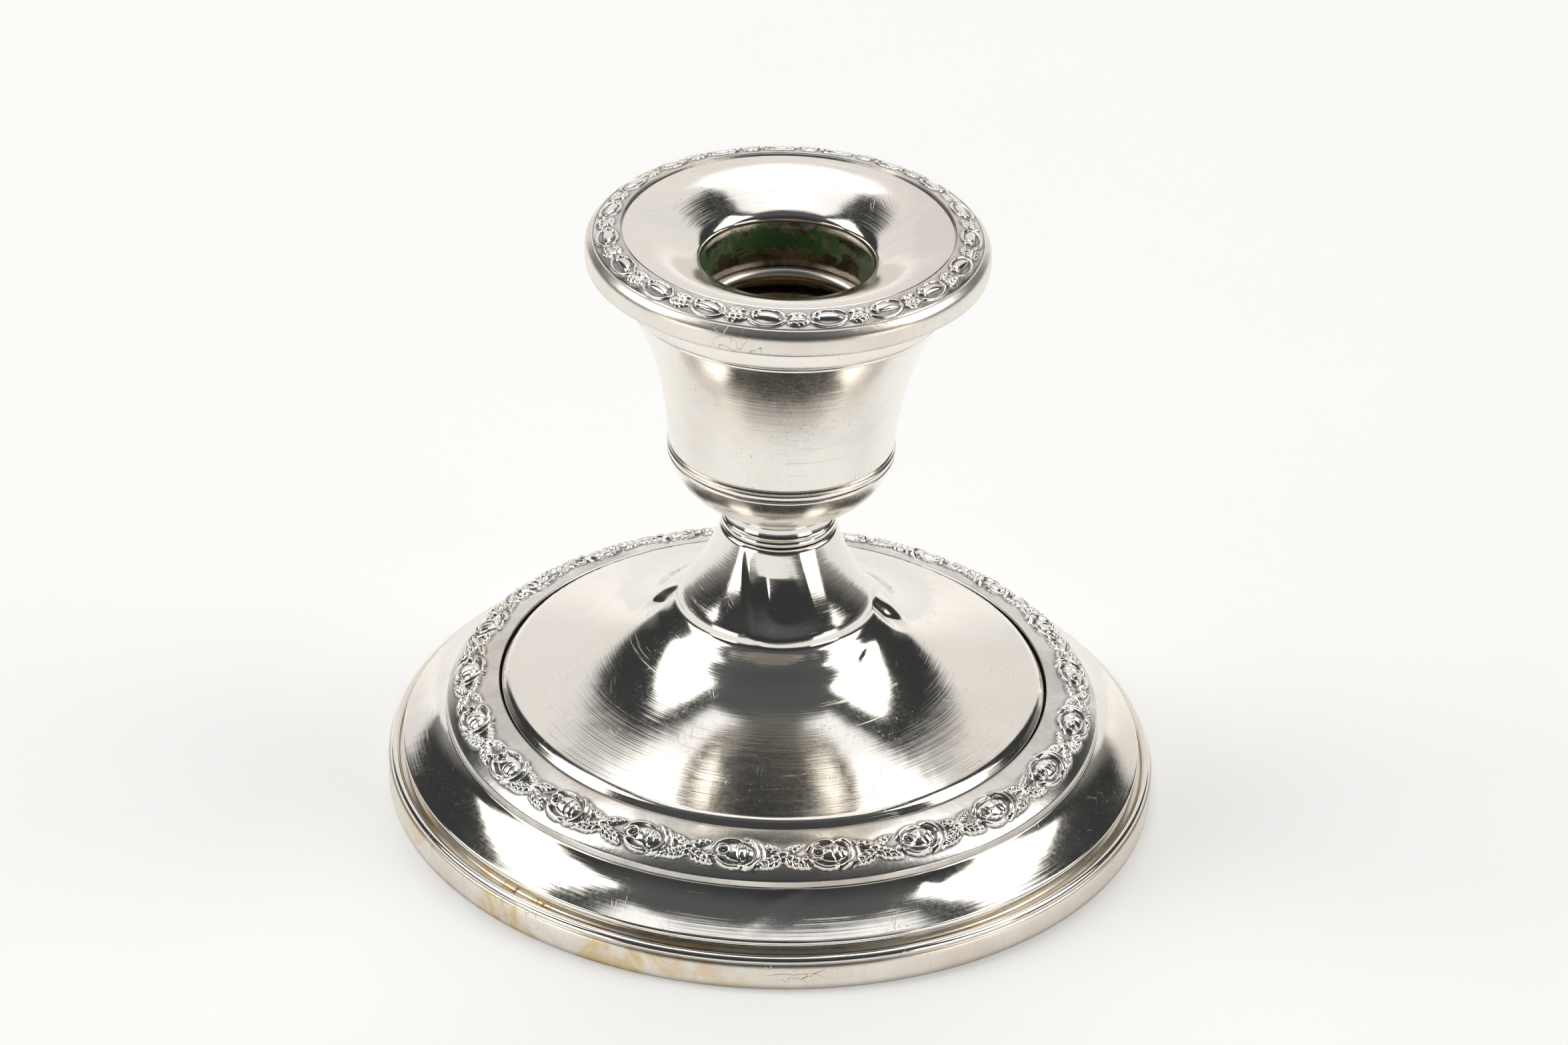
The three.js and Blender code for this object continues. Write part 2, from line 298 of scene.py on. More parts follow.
def leaf(u, v, root, tip, width, teeth):
    """A pointed, toothed leaf with a midrib and slanting veins."""
    axis = np.array(tip) - np.array(root)
    length = np.hypot(*axis)
    axis = axis / length
    along = ((u - root[0]) * axis[0] + (v - root[1]) * axis[1]) / length
    across = (v - root[1]) * axis[0] - (u - root[0]) * axis[1]
    inside = np.clip(along, 0, 1)
    saw = 1 + 0.22 * np.abs(((inside * teeth) % 1) - 0.35)
    half_width = width * np.sin(math.pi * inside**0.8) ** 0.8 * saw
    body = np.sqrt(np.clip(1 - (across / np.maximum(half_width, NEAR)) ** 2, 0, 1))
    veins = 0.5 + 0.5 * np.cos(ROUND * (inside * teeth - 0.9 * np.abs(across) / width))
    rib = 1 - 0.55 * np.exp(-((across / (0.1 * width)) ** 2))
    shape = body * rib * (0.62 + 0.38 * veins)
    return np.where((along > 0) & (along < 1), shape, 0)


def base_motif(u, v):
    """Heights from 0 to 1 of one repeat. u and v are millimetres along and up the band, from its middle."""
    bud = blob(u, v, (0.7, 0.0), (2.15, 1.4), -3)
    long_seam, short_seam = u - 0.75 - 0.25 * v * v, u - 1.7 - 0.2 * v * v
    bud *= 1 - 0.3 * wire(np.abs(long_seam), 0.16) - 0.2 * wire(np.abs(short_seam), 0.14)
    bud *= blob(u, v, (-1.15, 0.1), (0.95, 0.92)) == 0
    eye = 1.0 * ellipse_line(u, v, (-1.15, 0.1), (0.72, 0.7), 0.3)
    pip = 0.55 * blob(u, v, (-1.15, 0.1), (0.26, 0.26))
    scroll = 1.0 * ellipse_line(u, v, (0.9, 0.0), (2.35, 2.05), 0.44, -78, 75)
    outer = 0.75 * ellipse_line(u, v, (1.2, -0.05), (2.85, 2.35), 0.32, -60, 55)
    hood = 0.6 * ellipse_line(u, v, (-0.1, 0.05), (2.35, 1.85), 0.3, 55, 165)
    leg = 0.75 * ellipse_line(u, v, (0.1, 0.0), (2.3, 1.95), 0.36, -165, -55)
    curl = 0.7 * ellipse_line(u, v, (-2.6, -1.1), (0.65, 0.65), 0.28, 60, 300)
    lower_left = 1.0 * leaf(u, v, (6.6, -0.2), (3.1, -2.0), 0.85, 5)
    lower_right = 1.0 * leaf(u, v, (6.0, -0.2), (9.7, -1.9), 0.85, 5)
    upper_left = 0.75 * leaf(u, v, (6.5, 0.25), (3.5, 1.45), 0.6, 4)
    upper_right = 0.75 * leaf(u, v, (6.0, 0.25), (9.2, 1.5), 0.6, 4)
    knot = 0.9 * blob(u, v, (6.3, 0.05), (0.95, 0.5), 8)
    flower = [bud, eye, pip, scroll, outer, hood, leg, curl]
    return np.maximum.reduce(flower + [lower_left, lower_right, upper_left, upper_right, knot])


def nozzle_motif(u, v):
    """The smaller repeat of the nozzle: a bean-shaped bud in an open frame, then two leaf tufts."""
    squeeze = 0.3 * (1 - ((u - 0.1) / 1.6) ** 2)
    bean = 1.0 * blob(u, v - squeeze, (0.1, -0.05), (1.7, 0.68), -6)
    curl = 0.75 * ellipse_line(u, v, (-1.35, 0.35), (0.55, 0.5), 0.22, 0, 290)
    hood = 0.6 * ellipse_line(u, v, (-0.2, 0.3), (1.7, 0.95), 0.2, 45, 175)
    frame_low = 0.66 * ellipse_line(u, v, (0.0, 0.1), (2.35, 1.4), 0.22, -160, -5)
    frame_high = 0.55 * ellipse_line(u, v, (0.2, -0.05), (2.15, 1.35), 0.2, 5, 110)
    tuft_high = 0.8 * leaf(u, v, (2.65, 0.55), (5.1, 0.8), 0.5, 3)
    tuft_low = 0.95 * leaf(u, v, (2.5, -0.65), (5.4, -0.5), 0.68, 4)
    tuft_tip = 0.6 * leaf(u, v, (2.8, -0.05), (4.9, 0.2), 0.28, 2)
    return np.maximum.reduce([bean, curl, hood, frame_low, frame_high, tuft_high, tuft_low, tuft_tip])


def averaged(values, rows, columns):
    """Mean over a window, wrapping around the ring but not over its edges."""
    total = sum(np.roll(values, k, 1) for k in range(-columns, columns + 1)) / (2 * columns + 1)
    padded = np.pad(total, ((rows, rows), (0, 0)), mode="edge")
    return sum(padded[k : k + len(values)] for k in range(2 * rows + 1)) / (2 * rows + 1)


def seen_first(path):
    """A closed outline and its normals, started at its seen side, and how many of its points are seen."""
    ahead = np.roll(path, -1, 0) - np.roll(path, 1, 0)
    ahead /= np.linalg.norm(ahead, axis=1)[:, None]
    out = np.stack([ahead[:, 1], -ahead[:, 0]], 1) * winding(path)
    seen = out @ SEEN_FROM > SEEN_LIMIT
    start = next(i for i in range(len(path)) if seen[i] and not seen[i - 1])
    order = (np.arange(len(path)) + start) % len(path)
    return path[order], out[order], int(np.argmin(seen[order]))


def flower_band(node, motif, repeats, columns, row_step, field, relief, blend, first):
    """A band whose outer face carries a stamped relief between plain margins.

    field is the stamped part of the face's width, blend the share of it over which the relief runs out,
    and first the share of a repeat that the pattern is turned by.
    """
    outline = smoothed(grown(section(node)[0], SEAM_GROWTH), True, 0.1 * MM, row_step)
    path, out, last = seen_first(outline)
    lengths = np.concatenate([[0], np.cumsum(np.linalg.norm(np.diff(path[:last], axis=0), axis=1))])
    share = lengths / lengths[-1]
    if path[0, 1] > path[last - 1, 1]:
        share = 1 - share
    width = lengths[-1] / MM
    lower, upper = field
    middle = (lower + upper) / 2
    radius = np.repeat(path[:, :1], columns, 1)
    height = np.repeat(path[:, 1:], columns, 1)
    pitch = ROUND * path[:last, 0].mean() / repeats / MM
    place = (np.arange(columns) / columns * repeats + first) % 1
    u = (place * pitch + MOTIF_START * pitch) % pitch - MOTIF_START * pitch
    u_grid, v_grid = np.meshgrid(u, (share - middle) * width)
    tall = np.maximum.reduce([motif(u_grid + k * pitch, v_grid) for k in (0, 1, -1)])
    inside = np.clip((share - lower) / blend, 0, 1) * np.clip((upper - share) / blend, 0, 1)
    lift = relief * tall * inside[:, None]
    radius[:last] += lift * out[:last, :1]
    height[:last] += lift * out[:last, 1:]
    piece = lathe("look_" + node, radius, height, True)
    carved = tall * inside[:, None]
    window_rows = int(round(CAVITY_WINDOW * MM / (lengths[-1] / last)))
    window_columns = int(round(CAVITY_WINDOW / (pitch * repeats / columns)))
    near = averaged(carved, window_rows, window_columns)
    for label, values in (("relief", carved), ("cavity", np.clip(CAVITY_GAIN * (near - carved), 0, 1))):
        everywhere = np.zeros(radius.shape, np.float32)
        everywhere[:last] = values
        layer = piece.data.attributes.new(label, "FLOAT", "POINT")
        layer.data.foreach_set("value", everywhere.ravel())
    if winding(outline) > 0:
        piece.data.flip_normals()
    return piece


def opened_at(loop, other):
    """The same outline, anticlockwise, started just after the edge that faces the other outline."""
    if winding(loop) < 0:
        loop = loop[::-1]
    middles = (loop + np.roll(loop, -1, 0)) / 2
    gap = np.linalg.norm(middles[:, None] - other[None], axis=2).min(1)
    return np.roll(loop, -(int(np.argmin(gap)) + 1), 0)


def turned(node, columns=288, grow=SEAM_GROWTH, edge=0.05 * MM, step=0.35 * MM, dents=(), onward=None):
    """A turned node's look. onward names a second node, which carries on the same sheet of metal."""
    loop, closed = section(node)
    if onward:
        other = section(onward)[0]
        loop = np.vstack([opened_at(loop, other), opened_at(other, loop)])
    outline = smoothed(grown(loop, grow) if closed else loop, closed, edge, step)
    radius = np.repeat(outline[:, :1], columns, 1)
    height = np.repeat(outline[:, 1:], columns, 1)
    if dents:
        radius = dented(radius, height, dents)
    piece = lathe("look_" + node, radius, height, closed)
    faced_out(piece)
    return piece


# ---------------------------------------------------------------- node helpers

RANGE_SOCKETS = ("From Min", "From Max", "To Min", "To Max")
NOISE_SOCKETS = ("Scale", "Detail", "Roughness", "Distortion")


class Nodes:
    """Short calls for a material's node tree."""

    def __init__(self, name):
        self.material = bpy.data.materials.new(name)
        self.material.use_nodes = True
        self.tree = self.material.node_tree
        self.shader = self.tree.nodes["Principled BSDF"]

    def add(self, kind, **settings):
        node = self.tree.nodes.new("ShaderNode" + kind)
        for key, value in settings.items():
            setattr(node, key, value)
        return node

    def put(self, value, socket):
        if isinstance(value, bpy.types.NodeSocket):
            self.tree.links.new(value, socket)
        else:
            socket.default_value = value

    def math(self, operation, a, b=0.0, clamp=False):
        node = self.add("Math", operation=operation, use_clamp=clamp)
        self.put(a, node.inputs[0])
        self.put(b, node.inputs[1])
        return node.outputs[0]

    def span(self, value, low, high, out_low=0.0, out_high=1.0):
        node = self.add("MapRange", interpolation_type="SMOOTHSTEP")
        self.put(value, node.inputs["Value"])
        for key, number in zip(RANGE_SOCKETS, (low, high, out_low, out_high)):
            node.inputs[key].default_value = number
        return node.outputs["Result"]

    def mix(self, share, a, b):
        node = self.add("Mix", data_type="RGBA")
        self.put(share, node.inputs["Factor"])
        self.put(a, node.inputs[6])
        self.put(b, node.inputs[7])
        return node.outputs[2]

    def noise(self, place, scale, detail=4.0, rough=0.55, distort=0.0):
        node = self.add("TexNoise")
        self.put(place, node.inputs["Vector"])
        for key, number in zip(NOISE_SOCKETS, (scale, detail, rough, distort)):
            node.inputs[key].default_value = number
        return node.outputs["Fac"]

    def cell_edges(self, place):
        """Distance to the nearest edge between irregular cells."""
        cells = self.add("TexVoronoi", feature="DISTANCE_TO_EDGE")
        self.put(place, cells.inputs["Vector"])
        cells.inputs["Scale"].default_value = PATTERN_SIZE
        return cells.outputs["Distance"]

    def place(self):
        return self.add("TexCoord").outputs["Object"]

    def around(self):
        """Radius, height and angle about the axis, in metres and turns, as sockets."""
        apart = self.add("SeparateXYZ")
        self.put(self.place(), apart.inputs[0])
        x, y, z = apart.outputs
        squares = self.math("ADD", self.math("MULTIPLY", x, x), self.math("MULTIPLY", y, y))
        radius = self.math("SQRT", squares)
        angle = self.math("DIVIDE", self.math("ARCTAN2", x, self.math("MULTIPLY", y, -1.0)), ROUND)
        return radius, z, angle

    def join(self, x, y, z):
        node = self.add("CombineXYZ")
        for value, socket in zip((x, y, z), node.inputs):
            self.put(value, socket)
        return node.outputs[0]

    def bump(self, height, distance, strength=1.0, onto=None):
        node = self.add("Bump")
        node.inputs["Distance"].default_value = distance
        node.inputs["Strength"].default_value = strength
        self.put(height, node.inputs["Height"])
        if onto is not None:
            self.put(onto, node.inputs["Normal"])
        return node.outputs[0]


def colour(r, g, b):
    return (r, g, b, 1.0)


SILVER = colour(0.86, 0.825, 0.775)
WARM = colour(0.78, 0.71, 0.62)
YELLOW = colour(0.72, 0.52, 0.24)
BLUE = colour(0.60, 0.63, 0.66)
BROWN = colour(0.20, 0.15, 0.11)
VIOLET = colour(0.60, 0.50, 0.62)


def ring_place(n, fine, coarse):
    """A texture place that is finely stretched across the piece and coarsely around it."""
    scales = (fine, fine, coarse)
    return n.join(*(n.math("MULTIPLY", value, scale) for value, scale in zip(n.around(), scales)))


def turning_lines(n, fine, amount):
    """Fine lines that run around the piece, strongest where the lathe pressed hardest."""
    lines = n.noise(ring_place(n, fine, 3.0), PATTERN_SIZE, 3.0, 0.7)
    patches = n.span(n.noise(n.place(), 90.0, 2.0), 0.38, 0.66, 0.25, 1.0)
    return n.math("MULTIPLY", n.math("MULTIPLY", lines, patches), amount)


def scratches(n, scale, turn, width):
    """Sparse straight hairlines in one rough direction, 1 on a line."""
    spin = n.add("Mapping")
    n.put(n.place(), spin.inputs["Vector"])
    spin.inputs["Rotation"].default_value = turn
    spin.inputs["Scale"].default_value = (scale, scale * 0.09, scale * 0.5)
    line = n.span(n.cell_edges(spin.outputs[0]), 0.0, width, 1.0, 0.0)
    gate = n.span(n.noise(n.place(), 230.0, 2.0), 0.62, 0.66)
    return n.math("MULTIPLY", line, gate)


def ring_marks(n, fine):
    """Sparse thin arcs around the axis, left by polishing, 1 on a line."""
    lines = n.span(n.noise(ring_place(n, fine, 9.0), PATTERN_SIZE, 2.0, 0.5), 0.66, 0.7)
    return n.math("MULTIPLY", lines, n.span(n.noise(n.place(), 120.0, 2.0), 0.5, 0.62))


def polished(name, tint=SILVER, rough=0.065, lines=1.0, haze=0.6, warmth=0.5, violet=False):
    """Polished silver: turning lines, arcs and hairlines, dark specks and a warm bloom of tarnish."""
    n = Nodes(name)
    bloom = n.span(n.noise(n.place(), 34.0, 5.0, 0.6, 0.6), 0.42, 0.74)
    base = n.mix(n.math("MULTIPLY", bloom, warmth), tint, WARM)
    cool = n.span(n.noise(n.place(), 58.0, 4.0, 0.55, 0.4), 0.55, 0.8, 0.0, 0.4)
    base = n.mix(cool, base, BLUE)
    if violet:
        x = n.add("SeparateXYZ")
        n.put(n.place(), x.inputs[0])
        drift = n.math("MULTIPLY", n.math("SUBTRACT", n.noise(n.place(), 150.0, 4.0, 0.6, 1.5), 0.5), 0.02)
        right = n.span(n.math("ADD", x.outputs[0], drift), 0.011, 0.019)
        base = n.mix(n.math("MULTIPLY", right, 0.28), base, VIOLET)
    speck = n.span(n.noise(n.place(), 2600.0, 2.0, 0.6), 0.62, 0.74)
    where = n.span(n.noise(n.place(), 110.0, 3.0), 0.42, 0.66)
    specks = n.math("MULTIPLY", speck, where)
    base = n.mix(n.math("MULTIPLY", specks, 0.6), base, BROWN)
    steep = scratches(n, 520.0, (0.3, 0.2, 0.7), 0.02)
    level = scratches(n, 430.0, (0.9, 0.1, 2.2), 0.02)
    marks = n.math("MAXIMUM", steep, level)
    arcs = n.math("MAXIMUM", n.math("MULTIPLY", marks, 0.5), ring_marks(n, 2600.0))
    n.put(base, n.shader.inputs["Base Color"])
    n.shader.inputs["Metallic"].default_value = 1.0
    veil = n.span(n.noise(n.place(), 75.0, 6.0, 0.65, 0.3), 0.3, 0.8, rough, rough + 0.1 * haze)
    fine = n.span(n.noise(n.place(), 1900.0, 3.0, 0.7), 0.35, 0.7, 0.0, 0.05)
    veil = n.math("ADD", n.math("ADD", veil, fine), n.math("MULTIPLY", specks, 0.25))
    n.put(n.math("ADD", veil, n.math("MULTIPLY", arcs, 0.22)), n.shader.inputs["Roughness"])
    grain = n.bump(turning_lines(n, 3400.0, lines), 0.00003, 0.6)
    soft = n.bump(n.noise(n.place(), 140.0, 2.0), 0.00014, 0.35, grain)
    n.put(n.bump(n.math("MULTIPLY", arcs, -1.0), 0.000012, 0.5, soft), n.shader.inputs["Normal"])
    return n.material


def oxidised(name):
    """Stamped relief: rubbed bright on its heights, blue-black oxide in its recesses."""
    n = Nodes(name)
    relief = n.add("Attribute", attribute_name="relief").outputs["Fac"]
    cavity = n.add("Attribute", attribute_name="cavity").outputs["Fac"]
    broken = n.noise(n.place(), 900.0, 4.0, 0.65)
    smear = n.span(n.noise(n.place(), 130.0, 4.0, 0.6, 0.5), 0.3, 0.7, 0.3, 1.0)
    depth = n.math("ADD", relief, n.math("MULTIPLY", n.math("SUBTRACT", broken, 0.5), 0.3))
    ground = n.math("MULTIPLY", n.span(depth, 0.02, 0.3, 0.42, 0.0), smear)
    creases = n.math("MULTIPLY", n.math("MULTIPLY", cavity, n.span(broken, 0.3, 0.6, 0.6, 1.0)), 0.95)
    dark = n.math("ADD", ground, creases, True)
    warm = n.span(n.noise(n.place(), 70.0, 4.0), 0.4, 0.7)
    base = n.mix(warm, colour(0.87, 0.85, 0.82), colour(0.80, 0.74, 0.66))
    base = n.mix(n.math("MULTIPLY", dark, 0.92), base, colour(0.13, 0.13, 0.15))
    n.put(base, n.shader.inputs["Base Color"])
    n.shader.inputs["Metallic"].default_value = 1.0
    n.put(n.span(dark, 0.0, 1.0, 0.15, 0.5), n.shader.inputs["Roughness"])
    n.put(n.bump(n.noise(n.place(), 1500.0, 3.0), 0.00003, 0.5), n.shader.inputs["Normal"])
    return n.material


def worn(name, stains):
    """Dull silver with fine vertical scuffs, thin cracks and smudges, yellow stains in places."""
    n = Nodes(name)
    _, height, angle = n.around()
    warm = n.span(n.noise(n.place(), 60.0, 5.0, 0.6, 0.4), 0.35, 0.7)
    base = n.mix(warm, colour(0.86, 0.82, 0.76), colour(0.78, 0.71, 0.63))
    scuff_place = n.join(n.math("MULTIPLY", angle, 900.0), n.math("MULTIPLY", height, 260.0), 0.0)
    scuffs = n.span(n.noise(scuff_place, PATTERN_SIZE, 3.0, 0.7), 0.5, 0.78)
    base = n.mix(n.math("MULTIPLY", scuffs, 0.22), base, colour(0.5, 0.46, 0.42))
    smudge = n.span(n.noise(n.place(), 190.0, 3.0, 0.6, 1.2), 0.68, 0.76)
    base = n.mix(n.math("MULTIPLY", smudge, 0.5), base, colour(0.24, 0.25, 0.27))
    wander = n.math("MULTIPLY", n.math("SUBTRACT", n.noise(n.place(), 300.0, 3.0), 0.5), 2.2)
    around_it = n.math("ADD", n.math("MULTIPLY", angle, 40.0), wander)
    crack = n.cell_edges(n.join(around_it, n.math("MULTIPLY", height, 300.0), wander))
    cracked_area = n.span(n.noise(n.place(), 80.0), 0.56, 0.62)
    crack = n.math("MULTIPLY", n.span(crack, 0.0, 0.016, 1.0, 0.0), cracked_area)
    base = n.mix(n.math("MULTIPLY", crack, 0.3), base, BROWN)
    if stains:
        stain = n.span(n.noise(n.place(), 110.0, 5.0, 0.65, 1.0), 0.42, 0.6)
        left = n.math("MULTIPLY", n.span(angle, -0.22, -0.16), n.span(angle, -0.05, 0.01, 1.0, 0.1))
        stain = n.math("MULTIPLY", stain, left)
        base = n.mix(n.math("MULTIPLY", stain, 0.8), base, YELLOW)
    n.put(base, n.shader.inputs["Base Color"])
    n.shader.inputs["Metallic"].default_value = 1.0
    n.put(n.span(scuffs, 0.0, 1.0, 0.3, 0.46), n.shader.inputs["Roughness"])
    lumps = n.bump(n.noise(n.place(), 420.0, 4.0, 0.6), 0.00006, 0.6)
    n.put(n.bump(n.math("MULTIPLY", crack, -1.0), 0.00006, 0.8, lumps), n.shader.inputs["Normal"])
    return n.material


def tarnished(name):
    """Inside of the throat: brown tarnish with a ragged belt of green verdigris."""
    n = Nodes(name)
    height = n.around()[1]
    floor, top = (corner.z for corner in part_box("nozzle_collar"))
    brown = n.span(n.noise(n.place(), 260.0, 5.0, 0.65, 0.8), 0.35, 0.7)
    base = n.mix(brown, colour(0.62, 0.56, 0.48), colour(0.2, 0.15, 0.1))
    ragged = n.math("MULTIPLY", n.math("SUBTRACT", n.noise(n.place(), 200.0, 5.0, 0.7, 0.8), 0.5), 0.011)
    level = n.math("ADD", height, ragged)
    belt_low = floor + 0.4 * (top - floor)
    belt_high = floor + 0.82 * (top - floor)
    over = n.span(level, belt_low - 0.6 * MM, belt_low + 0.4 * MM)
    under = n.span(level, belt_high - 0.4 * MM, belt_high + 0.6 * MM, 1.0, 0.0)
    belt = n.math("MULTIPLY", over, under)
    green = n.mix(n.noise(n.place(), 900.0, 4.0, 0.7), colour(0.012, 0.06, 0.008), colour(0.08, 0.26, 0.04))
    broken = n.span(n.noise(n.place(), 130.0, 4.0, 0.65, 0.5), 0.36, 0.5, 0.25, 1.0)
    belt = n.math("MULTIPLY", belt, broken)
    base = n.mix(n.math("MULTIPLY", belt, 0.92), base, green)
    n.put(base, n.shader.inputs["Base Color"])
    n.put(n.span(belt, 0.0, 1.0, 1.0, 0.0), n.shader.inputs["Metallic"])
    n.put(n.span(belt, 0.0, 1.0, 0.3, 0.8), n.shader.inputs["Roughness"])
    n.put(n.bump(n.noise(n.place(), 1800.0, 5.0, 0.7), 0.00008, 0.7), n.shader.inputs["Normal"])
    return n.material


def plain(name, light, dark, metal, rough, scale, distance):
    """Two mottled tones with a bump, for the pieces that hardly show."""
    n = Nodes(name)
    tone = n.noise(n.place(), scale, 6.0, 0.65, 0.3)
    n.put(n.mix(n.span(tone, 0.3, 0.7), light, dark), n.shader.inputs["Base Color"])
    n.shader.inputs["Metallic"].default_value = metal
    n.put(n.span(tone, 0.2, 0.8, rough, min(1.0, rough + 0.25)), n.shader.inputs["Roughness"])
    n.put(n.bump(tone, distance, 0.7), n.shader.inputs["Normal"])
    return n.material


# ---------------------------------------------------------------- the pieces

bright = polished("polished_silver")
cup_silver = polished(
    "cup_silver", tint=colour(0.92, 0.885, 0.83), rough=0.13, lines=0.8, haze=0.9, warmth=0.6,
)
flower_silver = oxidised("oxidised_silver")
foot_silver = worn("worn_silver", stains=True)
rim_silver = worn("rim_silver", stains=False)
throat_silver = tarnished("tarnished_silver")
pan_silver = polished("pan_silver", warmth=0.6, violet=True)
bead_silver = polished("bead_silver", tint=colour(0.8, 0.75, 0.68), rough=0.28, warmth=0.9)
brass = plain(
    "liner_brass", colour(0.5, 0.4, 0.27), colour(0.24, 0.17, 0.1),
    metal=1.0, rough=0.3, scale=320.0, distance=0.00005,
)
loading = plain(
    "loading", colour(0.2, 0.16, 0.13), colour(0.1, 0.08, 0.065),
    metal=0.0, rough=0.8, scale=300.0, distance=0.0002,
)
iron = plain(
    "rod_iron", colour(0.3, 0.3, 0.31), colour(0.2, 0.15, 0.12),
    metal=1.0, rough=0.5, scale=400.0, distance=0.0001,
)
tinplate = plain(
    "tinplate", colour(0.62, 0.62, 0.62), colour(0.45, 0.45, 0.46),
    metal=1.0, rough=0.3, scale=200.0, distance=0.00005,
)
baize = plain(
    "baize", colour(0.03, 0.12, 0.055), colour(0.055, 0.17, 0.085),
    metal=0.0, rough=0.95, scale=2600.0, distance=0.0003,
)

shoulder, neck_top = (corner.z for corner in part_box("stem_neck"))
# Azimuths are in degrees, 0 towards the camera and 90 to the right.
stem_dents = [
    {"base": (-15, shoulder + 2.3 * MM, 11.5 * MM), "top": (-29, neck_top - 0.6 * MM, 9 * MM),
     "depth": 0.8 * MM},
    {"ring": shoulder + 1.3 * MM, "width": 1.0 * MM, "depth": 0.85 * MM},
    {"at": (-19, shoulder + 6.8 * MM, 10 * MM), "size": (4.2 * MM, 2.4 * MM),
     "turn": -68, "depth": 0.7 * MM, "crease": 0.25},
    {"at": (-96, shoulder - 0.9 * MM, 15 * MM), "size": (1.5 * MM, 2.0 * MM),
     "turn": 10, "depth": 1.3 * MM, "crease": 0.5},
    {"at": (86, shoulder - 0.3 * MM, 15 * MM), "size": (1.5 * MM, 2.4 * MM),
     "turn": -20, "depth": 1.2 * MM, "crease": 0.4},
    {"at": (50, shoulder - 0.9 * MM, 15.5 * MM), "size": (3.2 * MM, 0.8 * MM),
     "turn": 20, "depth": 0.3 * MM, "crease": 0.6},
]
skirt_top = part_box("base_skirt")[1].z
skirt_dents = [
    {"at": (3, skirt_top - 1.2 * MM, 44 * MM), "size": (3.6 * MM, 1.2 * MM),
     "turn": 25, "depth": 0.25 * MM, "crease": 0.2},
    {"at": (28, skirt_top - 0.6 * MM, 43.5 * MM), "size": (1.0 * MM, 0.6 * MM),
     "turn": 0, "depth": 0.2 * MM},
]

finish_piece(turned("foot_band", edge=0.15 * MM), "foot_band", foot_silver)
finish_piece(turned("foot_bead", edge=0.3 * MM), "foot_bead", bright)
finish_piece(turned("base_skirt", dents=skirt_dents), "base_skirt", bright)
dome_and_neck = turned("base_dome", columns=576, step=0.2 * MM, dents=stem_dents, onward="stem_neck")
finish_piece(dome_and_neck, "base_dome", bright, "stem_neck")
finish_piece(turned("stem_collar"), "stem_collar", bright)
finish_piece(turned("cup_bowl"), "cup_bowl", cup_silver)
finish_piece(turned("cup_bead", edge=0.2 * MM), "cup_bead", cup_silver)
finish_piece(turned("cup_wall"), "cup_wall", cup_silver)
finish_piece(turned("cup_lip", edge=0.15 * MM), "cup_lip", cup_silver)
finish_piece(turned("socket_liner", edge=0.15 * MM), "socket_liner", brass)
finish_piece(turned("nozzle_pan", edge=0.25 * MM), "nozzle_pan", pan_silver)
finish_piece(turned("nozzle_rim", edge=0.12 * MM), "nozzle_rim", rim_silver)
finish_piece(turned("nozzle_collar", grow=0.1 * MM), "nozzle_collar", throat_silver)
finish_piece(turned("nozzle_collar_bead", grow=0.1 * MM, edge=0.25 * MM), "nozzle_collar_bead", bead_silver)

base_band = flower_band(
    "base_flower_band", base_motif, repeats=21, columns=1890, row_step=0.14 * MM,
    field=(0.17, 0.86), relief=0.7 * MM, blend=0.035, first=0.36,
)
finish_piece(base_band, "base_flower_band", flower_silver)
nozzle_band = flower_band(
    "nozzle_flower_band", nozzle_motif, repeats=19, columns=1520, row_step=0.1 * MM,
    field=(0.27, 0.96), relief=0.34 * MM, blend=0.05, first=0.3,
)
finish_piece(nozzle_band, "nozzle_flower_band", flower_silver)

for node, material in (
    ("baize_pad", baize),
    ("base_plate", tinplate),
    ("pitch_filling", loading),
    ("stem_rod", iron),
):
    frame["nodes"][node].data.materials.clear()
    frame["nodes"][node].data.materials.append(material)


# ---------------------------------------------------------------- floor, light and camera

def studio_floor():
    """A pale sheet whose far side is out of sight."""
    signs = np.array([(-1, -1, 0), (1, -1, 0), (1, 1, 0), (-1, 1, 0)], float)
    corners = FLOOR_SIZE * signs
    floor = mesh_object("studio_floor", corners, np.array([[0, 1, 2, 3]]))
    n = Nodes("studio_paper")
    paper = n.mix(n.noise(n.place(), 40.0), colour(0.93, 0.93, 0.935), colour(0.945, 0.945, 0.95))
    n.put(paper, n.shader.inputs["Base Color"])
    n.shader.inputs["Roughness"].default_value = 0.85
    n.shader.inputs["Specular IOR Level"].default_value = 0.2
    n.shader.inputs["Emission Color"].default_value = colour(1.0, 1.0, 1.0)
    n.shader.inputs["Emission Strength"].default_value = FLOOR_GLOW
    floor.data.materials.append(n.material)


def direction(azimuth, elevation):
    """Unit vector; azimuth 0 is +Y, away from the camera, and 90 is +X."""
    a, e = math.radians(azimuth), math.radians(elevation)
    return Vector((math.sin(a) * math.cos(e), math.cos(a) * math.cos(e), math.sin(e)))


